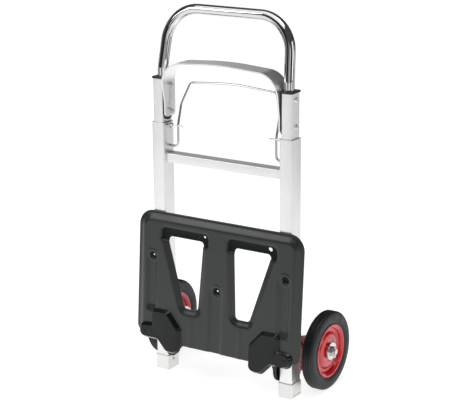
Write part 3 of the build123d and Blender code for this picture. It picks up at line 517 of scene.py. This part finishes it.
def rounded_corners(points, radii, steps=10):
    """A closed polygon with its corners rounded to the given radii."""
    result = []
    count = len(points)
    for i, point in enumerate(points):
        here = np.array(point, float)
        before = np.array(points[i - 1], float) - here
        after = np.array(points[(i + 1) % count], float) - here
        before /= np.linalg.norm(before)
        after /= np.linalg.norm(after)
        half = math.acos(float(np.clip(before @ after, -1, 1))) / 2
        radius = radii[i]
        if radius <= 0:
            result.append(tuple(here))
            continue
        middle = here + (before + after) / np.linalg.norm(before + after) * radius / math.sin(half)
        first = here + before * radius / math.tan(half) - middle
        last = here + after * radius / math.tan(half) - middle
        start = math.atan2(first[1], first[0])
        sweep = math.atan2(last[1], last[0]) - start
        sweep = (sweep + math.pi) % (2 * math.pi) - math.pi
        for k in range(steps + 1):
            turned = start + sweep * k / steps
            result.append((middle[0] + radius * math.cos(turned), middle[1] + radius * math.sin(turned)))
    return result


def distance_to(points, loop):
    """Distance from each point to a closed polygon, negative inside it."""
    loop = np.array(loop)
    nearest = np.full(len(points), 1e9)
    inside = np.zeros(len(points), bool)
    for a, b in zip(loop, np.roll(loop, -1, 0)):
        edge = b - a
        length = float(edge @ edge)
        if length < 1e-16:
            continue
        t = np.clip((points - a) @ edge / length, 0, 1)
        nearest = np.minimum(nearest, np.linalg.norm(points - a - t[:, None] * edge, axis=1))
        crosses = (a[1] > points[:, 1]) != (b[1] > points[:, 1])
        with np.errstate(divide="ignore", invalid="ignore"):
            at = a[0] + (points[:, 1] - a[1]) / (b[1] - a[1]) * edge[0]
        inside ^= crosses & (points[:, 0] < at)
    return np.where(inside, -nearest, nearest)


outline = rounded_corners(
    [(-PLATE_HALF, STEP_UP), (-TONGUE_HALF, STEP_UP), (-TONGUE_HALF, 0), (TONGUE_HALF, 0),
     (TONGUE_HALF, STEP_UP), (PLATE_HALF, STEP_UP), (PLATE_HALF, PLATE_LENGTH),
     (-PLATE_HALF, PLATE_LENGTH)], [0.014, 0.002, 0.002, 0.002, 0.002, 0.014, CORNER, CORNER], 14)
# The bevel follows the sides and the top and runs out below, so its outline goes on downward.
skirt = rounded_corners([(-PLATE_HALF, -0.2), (PLATE_HALF, -0.2), (PLATE_HALF, PLATE_LENGTH),
                         (-PLATE_HALF, PLATE_LENGTH)], [0, 0, CORNER, CORNER], 14)
right_window = rounded_corners(WINDOW, [WINDOW_CORNER] * 4, 8)
scoop = rounded_corners([(SCOOP_X[0], SCOOP_LOW), (SCOOP_X[1], SCOOP_LOW), (SCOOP_X[1], SCOOP_TOP),
                         (SCOOP_X[0], SCOOP_TOP)], [0.009, 0.009, 0.013, 0.013])
windows = [right_window, [(-x, up) for x, up in reversed(right_window)]]


def plate_height(points):
    """Height of the sheet's back above the rim's back at each point of the flat pattern."""
    x, up = points[:, 0], points[:, 1]
    side = np.abs(x)
    edge = -distance_to(points, skirt)
    height = (FIELD - PLATE_SHEET) * ease((edge - RIM) / BEVEL)
    # Flanges: the field turns down towards the edge of each window.
    mirrored = np.stack([side, up], 1)
    to_window = distance_to(mirrored, right_window)
    height -= FLANGE_DROP * (1 - ease(to_window / FLANGE)) * ease((FLANGE_TOP - up) / FADE)
    # Scoops: above each window the sheet slopes back down into it, with rounded ends.
    inside = ease(-distance_to(mirrored, scoop) / SCOOP_SLOPE)
    height -= SCOOP_DROP * inside * (0.5 + 0.5 * ease((SCOOP_TOP - up) / FADE))
    # Side channels below the outer dimples and a shallow one below the middle dimple.
    for centre, half, low, high, depth in CHANNELS:
        across = ease((half - np.abs(side - centre)) / CHANNEL_SIDE)
        along = ease((up - low) / FADE) * ease((high - up) / FADE)
        height -= depth * across * along
    # Faint ridges between the lugs.
    ridge = np.exp(-((side - RIDGE_X) / RIDGE_WIDTH) ** 2)
    height += RIDGE_HEIGHT * ridge * ease((RIDGE_TOP - up) / RIDGE_FADE)
    # Dished holes.
    for hole_x, hole_up in DIMPLES:
        gap = np.hypot(x - hole_x, up - hole_up)
        height -= DISH_DROP * (1 - ease((gap - DISH_FLAT) / DISH_SLOPE))
        height += LIP_HEIGHT * np.exp(-((gap - LIP_R) / LIP_WIDTH) ** 2)
    return np.maximum(height, 0.0)


def plate_painted_shade(points):
    """How far each point is down in a scoop or a dished hole, from 0 to 1; this is painted shade, which
    turns the coat's sheen down there.
    """
    x, up = points[:, 0], points[:, 1]
    painted_recess_shade = ease(-distance_to(np.stack([np.abs(x), up], 1), scoop) / PAINTED_SHADE_EDGE)
    for hole_x, hole_up in DIMPLES:
        gap = np.hypot(x - hole_x, up - hole_up)
        painted_recess_shade = np.maximum(painted_recess_shade, 1 - ease((gap - PAINTED_SHADE_R) / PAINTED_SHADE_FADE))
    return painted_recess_shade.astype(np.float32)


print("CAD plate", [round(size / MM) for size in plate_hi - plate_lo], "mm")

# %% [markdown]
# The flat pattern is meshed with a constrained triangulation: the outline, the windows and the
# holes are fixed edges, and the grid points between them are free.

# %% Press the plate
GRID = 0.0022
DISH_HOLE_R = 0.0025
# Each plain hole: its place across and up the plate, and its radius.
PLAIN_HOLES = ((0.126, 0.2475, 0.0048), (-0.036, 0.2475, 0.003))


def circle(x, up, radius, steps=20):
    """A closed circle in the flat pattern."""
    return [(x + radius * math.cos(t), up + radius * math.sin(t))
            for t in np.linspace(0, 2 * math.pi, steps, endpoint=False)]


def even_loop(loop, step):
    """The same closed polygon with its long edges cut into short ones."""
    result = []
    for a, b in zip(loop, loop[1:] + loop[:1]):
        count = max(1, int(math.ceil(math.dist(a, b) / step)))
        result += [(a[0] + (b[0] - a[0]) * k / count, a[1] + (b[1] - a[1]) * k / count)
                   for k in range(count)]
    return result


holes = windows + [circle(x, up, DISH_HOLE_R) for x, up in DIMPLES]
holes += [circle(*place) for place in PLAIN_HOLES]
loops = [even_loop(loop, GRID) for loop in [outline] + holes]
grid_x, grid_up = np.meshgrid(np.arange(-PLATE_HALF, PLATE_HALF, GRID), np.arange(0, PLATE_LENGTH, GRID))
free = np.stack([grid_x.ravel(), grid_up.ravel()], 1)
keep = distance_to(free, outline) < -GRID * 0.5
for hole in holes:
    keep &= distance_to(free, hole) > GRID * 0.5
pattern = [Vector(p) for p in free[keep]]
edges = []
for loop in loops:
    first = len(pattern)
    pattern += [Vector(p) for p in loop]
    edges += [(first + k, first + (k + 1) % len(loop)) for k in range(len(loop))]
flat_points, _, flat_faces, *_ = delaunay_2d_cdt(pattern, edges, [], 0, 1e-7)
flat = np.array([tuple(p) for p in flat_points])
middles = np.array([flat[list(face)].mean(0) for face in flat_faces])
solid = distance_to(middles, outline) < 0
for hole in holes:
    solid &= distance_to(middles, hole) > 0
heights = plate_height(flat)
pressed = [PLATE_FOOT + Vector((x, 0, 0)) + plate_up * up + plate_out * h
           for (x, up), h in zip(flat, heights)]
plate_mesh = bpy.data.meshes.new("toe_plate_pressed")
plate_mesh.from_pydata(pressed, [], [tuple(face) for face, kept in zip(flat_faces, solid) if kept])
# The painted shade for the scoops and dished holes goes on the mesh as a point attribute.
plate_mesh.attributes.new("painted_recess_shade", "FLOAT", "POINT").data.foreach_set("value", plate_painted_shade(flat))
shape = bmesh.new()
shape.from_mesh(plate_mesh)
bmesh.ops.delete(shape, geom=[v for v in shape.verts if not v.link_faces], context="VERTS")
bmesh.ops.recalc_face_normals(shape, faces=shape.faces)
if sum((face.normal for face in shape.faces), Vector()).dot(plate_out) < 0:
    bmesh.ops.reverse_faces(shape, faces=shape.faces)
shape.to_mesh(plate_mesh)
shape.free()
smooth(plate_mesh, 40)
plate = put("toe_plate_pressed", plate_mesh, "toe_plate", powder, ["toe_plate"])
thick = plate.modifiers.new("sheet", "SOLIDIFY")
thick.thickness = PLATE_SHEET
thick.offset = 1.0
print("plate faces", len(plate_mesh.polygons))

# %% [markdown]
# ## Bent tube and wire
# The grip is one chromed tube and the release bail one chromed wire, both bent on round formers.
# A bend is an arc that touches the two straight runs, so a path is a few corner points with a
# radius for each. The section is carried along the path without twisting.

# %% Bend the grip and the bail


def bent_path(points, radii, steps=14):
    """A 3-D polyline whose inner corners are arcs of the given radii."""
    points = [Vector(p) * MM for p in points]
    result = [points[0]]
    for before, corner, after, radius in zip(points, points[1:], points[2:], radii):
        to_before = (before - corner).normalized()
        to_after = (after - corner).normalized()
        half = to_before.angle(to_after) / 2
        reach = radius * MM / math.tan(half)
        middle = corner + (to_before + to_after).normalized() * radius * MM / math.sin(half)
        first = corner + to_before * reach - middle
        last = corner + to_after * reach - middle
        for k in range(steps + 1):
            spoke = first.normalized().slerp(last.normalized(), k / steps)
            result.append(middle + spoke * radius * MM)
    return result + [points[-1]]


def even_path(path, step):
    """The same path cut into short pieces of about one length."""
    result = [path[0]]
    for a, b in zip(path, path[1:]):
        count = max(1, round((b - a).length / (step * MM)))
        result += [a.lerp(b, k / count) for k in range(1, count + 1)]
    return result


def swept_tube(name, path, radius, sides):
    """A closed round tube carried along a path without twisting."""
    across = (path[1] - path[0]).orthogonal().normalized()
    rings = []
    for k, here in enumerate(path):
        along = (path[min(k + 1, len(path) - 1)] - path[max(k - 1, 0)]).normalized()
        across = (across - along * across.dot(along)).normalized()
        other = along.cross(across)
        rings.append([here + (across * math.cos(t) + other * math.sin(t)) * radius * MM
                      for t in (2 * math.pi * i / sides for i in range(sides))])
    points = [p for ring in rings for p in ring]
    faces = [(k * sides + i, k * sides + (i + 1) % sides, (k + 1) * sides + (i + 1) % sides,
              (k + 1) * sides + i) for k in range(len(rings) - 1) for i in range(sides)]
    faces += [tuple(reversed(range(sides))), tuple(range(len(points) - sides, len(points)))]
    mesh = bpy.data.meshes.new(name)
    mesh.from_pydata(points, [], faces)
    smooth(mesh, 50)
    return mesh


def both_ways(points):
    """A path over the middle plane from its right half."""
    return points + [(-x, y, z) for x, y, z in reversed(points)]


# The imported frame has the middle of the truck's depth at 0; this is that move, in millimetres.
Y_SHIFT = -69.407
TUBE_Y = 18.5 + Y_SHIFT
BAIL_BENDS = [10, 60, 25, 10, 500, 10, 25, 60, 10]
GRIP_R, GRIP_BEND, GRIP_SWAY = 11.0, 75.0, 50.0
BAIL_R, BAIL_Y, BAIL_Z = 2.5, 22.9 + Y_SHIFT, 506.0
grip_points = both_ways([(154, TUBE_Y, 656), (154, TUBE_Y, 672), (146, TUBE_Y + 21.5, 799)])
grip_path = even_path(bent_path(grip_points, [GRIP_SWAY, GRIP_BEND, GRIP_BEND, GRIP_SWAY], 24), 6)
put("grip_bent_tube", swept_tube("grip_bent_tube", grip_path, GRIP_R, 40), "handle", chrome,
    ["grip_tube"])
bail_half = [(143.4, BAIL_Y, BAIL_Z), (121, BAIL_Y, BAIL_Z), (121, BAIL_Y, BAIL_Z + 45),
             (121, BAIL_Y + 13, BAIL_Z + 88), (106, BAIL_Y + 28, BAIL_Z + 134)]
bail_points = bail_half + [(0, BAIL_Y + 30, BAIL_Z + 141)] + [(-x, y, z) for x, y, z in bail_half[::-1]]
bail_path = even_path(bent_path(bail_points, BAIL_BENDS), 4)
put("bail_bent_wire", swept_tube("bail_bent_wire", bail_path, BAIL_R, 20), "bail", chrome,
    ["release_bail"])
print("grip points", len(grip_path), "bail points", len(bail_path))

# %% [markdown]
# ## Turned wheels
# A wheel is a profile turned about its axle. The tyre has a rounded shoulder and three fine tread
# grooves; each half of the rim is a pressing with a rolled lip, a deep valley, a raised ring and
# a dished middle, so its profile is a few corners, each with a radius of its own.

# %% Turn the tyres and rims
WHEEL_SEGMENTS = 128


def turned(name, profile, middle, segments=WHEEL_SEGMENTS, sharp=35):
    """Turn a closed profile of (x, radius) in millimetres about the X axis through a point."""
    count = len(profile)
    points = [middle + Vector((x * MM, r * MM * math.cos(t), r * MM * math.sin(t)))
              for t in (2 * math.pi * k / segments for k in range(segments)) for x, r in profile]
    faces = [(k * count + i, k * count + (i + 1) % count,
              ((k + 1) % segments) * count + (i + 1) % count, ((k + 1) % segments) * count + i)
             for k in range(segments) for i in range(count)]
    mesh = bpy.data.meshes.new(name)
    mesh.from_pydata(points, [], faces)
    shape = bmesh.new()
    shape.from_mesh(mesh)
    bmesh.ops.remove_doubles(shape, verts=shape.verts, dist=1e-6)
    bmesh.ops.recalc_face_normals(shape, faces=shape.faces)
    shape.to_mesh(mesh)
    shape.free()
    smooth(mesh, sharp)
    return mesh


def rounded_profile(points):
    """A closed profile of (x, radius, corner) with its corners rounded."""
    return rounded_corners([(x, r) for x, r, _ in points], [corner for _, _, corner in points], 6)


tyre_right = [(-8, 53, 0.4), (-11, 56, 1), (-11, 59, 1), (-14, 66.5, 4), (-14, 76, 6), (-12.5, 82, 4),
              (-9.2, 85, 4)]
for groove in (-5.2, 0.0, 5.2):
    tyre_right += [(groove - 1.1, 85, 0.4), (groove - 0.7, 83.3, 0.3), (groove + 0.7, 83.3, 0.3),
                   (groove + 1.1, 85, 0.4)]
tyre_right += [(9.2, 85, 4), (12.5, 82, 4), (14, 76, 6), (14, 66.5, 4), (11, 59, 1), (11, 56, 1),
               (8, 53, 0.4)]
rim_face = [(0.05, 52.9, 0.2), (8, 52.9, 1.2), (10.9, 55.8, 1.2), (10.9, 57.5, 0.5), (13, 57.5, 0.9),
            (12.8, 54, 1.2), (9.5, 49.3, 3), (4.2, 48, 2.5), (2.4, 41, 4), (7.4, 35.5, 4),
            (9.2, 26, 4), (7.4, 20, 3), (9, 15.5, 1.2), (9, 14.05, 0.2), (7, 14.05, 0.2), (5.4, 20, 3),
            (7.2, 26, 4), (5.4, 35, 4), (0.05, 41.5, 3)]
for side, sign in SIDES:
    tyre_lo, tyre_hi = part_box("tyre_" + side)
    middle = (tyre_lo + tyre_hi) / 2
    body = "wheel_" + side
    put(f"tyre_{side}_moulded", turned("tyre_" + side, rounded_profile(tyre_right), middle), body,
        rubber, ["tyre_" + side])
    for half, way in (("outer", sign), ("inner", -sign)):
        profile = [(x * way, r) for x, r in rounded_profile(rim_face)]
        put(f"rim_{half}_{side}_pressed", turned(f"rim_{half}_{side}", profile, middle), body,
            red_enamel, [f"rim_{half}_{side}"])
print("wheel segments", WHEEL_SEGMENTS)

# %% [markdown]
# ## Fasteners
# The bow's bolts and nuts repeat at even places on both sides of the truck. A small node group
# does that: it strings copies of one template along a line, mirrors them and makes them real, so
# the spacing is a number that can be changed.

# %% String the fasteners
RING_SIDES = 48
BOLT_ROWS = 2
HEAD_R = 5.5
HEAD_RISE = 3.4
NUT_FLATS = 10
NUT_LENGTH = 4.5


def repeat_group():
    """A node group that repeats a template along a line, on both sides of the middle plane."""
    group = bpy.data.node_groups.new("repeat_both_sides", "GeometryNodeTree")
    for name, kind in (("Template", "NodeSocketObject"), ("Count", "NodeSocketInt"),
                       ("Start", "NodeSocketVector"), ("Step", "NodeSocketVector"),
                       ("Finish", "NodeSocketMaterial")):
        group.interface.new_socket(name, in_out="INPUT", socket_type=kind)
    group.interface.new_socket("Geometry", in_out="OUTPUT", socket_type="NodeSocketGeometry")
    nodes, links = group.nodes, group.links
    given, result = nodes.new("NodeGroupInput"), nodes.new("NodeGroupOutput")
    line = nodes.new("GeometryNodeMeshLine")
    line.mode = "OFFSET"
    template = nodes.new("GeometryNodeObjectInfo")
    copies = nodes.new("GeometryNodeInstanceOnPoints")
    real = nodes.new("GeometryNodeRealizeInstances")
    mirror = nodes.new("GeometryNodeTransform")
    mirror.inputs["Scale"].default_value = (-1, 1, 1)
    flip = nodes.new("GeometryNodeFlipFaces")
    join = nodes.new("GeometryNodeJoinGeometry")
    paint = nodes.new("GeometryNodeSetMaterial")
    links.new(given.outputs["Count"], line.inputs["Count"])
    links.new(given.outputs["Start"], line.inputs["Start Location"])
    links.new(given.outputs["Step"], line.inputs["Offset"])
    links.new(given.outputs["Template"], template.inputs["Object"])
    links.new(line.outputs["Mesh"], copies.inputs["Points"])
    links.new(template.outputs["Geometry"], copies.inputs["Instance"])
    links.new(copies.outputs["Instances"], real.inputs["Geometry"])
    links.new(real.outputs["Geometry"], mirror.inputs["Geometry"])
    links.new(mirror.outputs["Geometry"], flip.inputs["Mesh"])
    links.new(real.outputs["Geometry"], join.inputs["Geometry"])
    links.new(flip.outputs["Mesh"], join.inputs["Geometry"])
    links.new(join.outputs["Geometry"], paint.inputs["Geometry"])
    links.new(given.outputs["Finish"], paint.inputs["Material"])
    links.new(paint.outputs["Geometry"], result.inputs["Geometry"])
    return group


repeat_both_sides = repeat_group()


def repeated(name, template_mesh, count, start, step, material, node):
    """Repeat a template with the node group and keep the result as a plain mesh."""
    template = bpy.data.objects.new(name + "_template", template_mesh)
    scene.collection.objects.link(template)
    template.hide_render = True
    holder = bpy.data.objects.new(name + "_string", bpy.data.meshes.new(name + "_string"))
    scene.collection.objects.link(holder)
    string = holder.modifiers.new("string", "NODES")
    string.node_group = repeat_both_sides
    values = {"Template": template, "Count": count, "Start": start, "Step": step, "Finish": material}
    for item in repeat_both_sides.interface.items_tree:
        if item.in_out == "INPUT":
            string[item.identifier] = values[item.name]
    bpy.context.view_layer.update()
    ready = holder.evaluated_get(bpy.context.evaluated_depsgraph_get())
    mesh = bpy.data.meshes.new_from_object(ready)
    mesh.name = name
    bpy.data.objects.remove(holder)
    bpy.data.objects.remove(template)
    smooth(mesh, 30)
    put(name, mesh, body_of[node], None, [node])


def hexagon_ring(flats):
    """The radius of a hexagon at RING_SIDES even angles."""
    return [flats / 2 / math.cos((t + math.pi / 6) % (math.pi / 3) - math.pi / 6)
            for t in np.linspace(0, 2 * math.pi, RING_SIDES, endpoint=False)]


def stacked(name, rings):
    """A closed solid along +X from rings of (x, list of RING_SIDES radii)."""
    angles = np.linspace(0, 2 * math.pi, RING_SIDES, endpoint=False)
    points = [(x * MM, r * MM * math.cos(t), r * MM * math.sin(t))
              for x, radii in rings for t, r in zip(angles, radii)]
    count = RING_SIDES
    faces = [(k * count + i, k * count + (i + 1) % count, (k + 1) * count + (i + 1) % count,
              (k + 1) * count + i) for k in range(len(rings) - 1) for i in range(count)]
    faces += [tuple(reversed(range(count))), tuple(range(len(points) - count, len(points)))]
    mesh = bpy.data.meshes.new(name)
    mesh.from_pydata(points, [], faces)
    shape = bmesh.new()
    shape.from_mesh(mesh)
    bmesh.ops.recalc_face_normals(shape, faces=shape.faces)
    shape.to_mesh(mesh)
    shape.free()
    return mesh


def ring(radius):
    """A round ring for stacked()."""
    return [radius] * RING_SIDES


def nut_rings(flats, length):
    """A hexagon nut whose faces are chamfered by a cone."""
    corner = hexagon_ring(flats)
    cut = [min(r, flats / 2 * 1.02) for r in corner]
    return [(0, cut), (0.5, corner), (length - 0.5, corner), (length, cut)]


bolt_lo, bolt_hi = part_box("bow_bolts")
bolt_rings = [(-39.4, ring(2.6)), (-39.0, ring(3)), (0, ring(3)), (0, ring(5.5)), (0.8, ring(5.5)),
              (1.7, ring(5.1)), (2.6, ring(4.3)), (3.2, ring(3.3)), (3.4, ring(2.6)),
              (3.4, hexagon_ring(4)), (1.8, hexagon_ring(4))]
middle_y = (bolt_lo.y + bolt_hi.y) / 2
bolt_gap = Vector((0, 0, bolt_hi.z - bolt_lo.z - 2 * HEAD_R * MM))
first_z = bolt_lo.z + HEAD_R * MM
repeated("bow_button_bolts", stacked("bolt", bolt_rings), BOLT_ROWS,
         Vector((bolt_hi.x - HEAD_RISE * MM, middle_y, first_z)), bolt_gap, zinc, "bow_bolts")
_, nut_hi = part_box("bow_nuts")
repeated("bow_lock_nuts", stacked("nut", nut_rings(NUT_FLATS, NUT_LENGTH)), BOLT_ROWS,
         Vector((nut_hi.x - NUT_LENGTH * MM, middle_y, first_z)), bolt_gap, zinc, "bow_nuts")
print("bolts", BOLT_ROWS * len(SIDES), "nuts", BOLT_ROWS * len(SIDES))
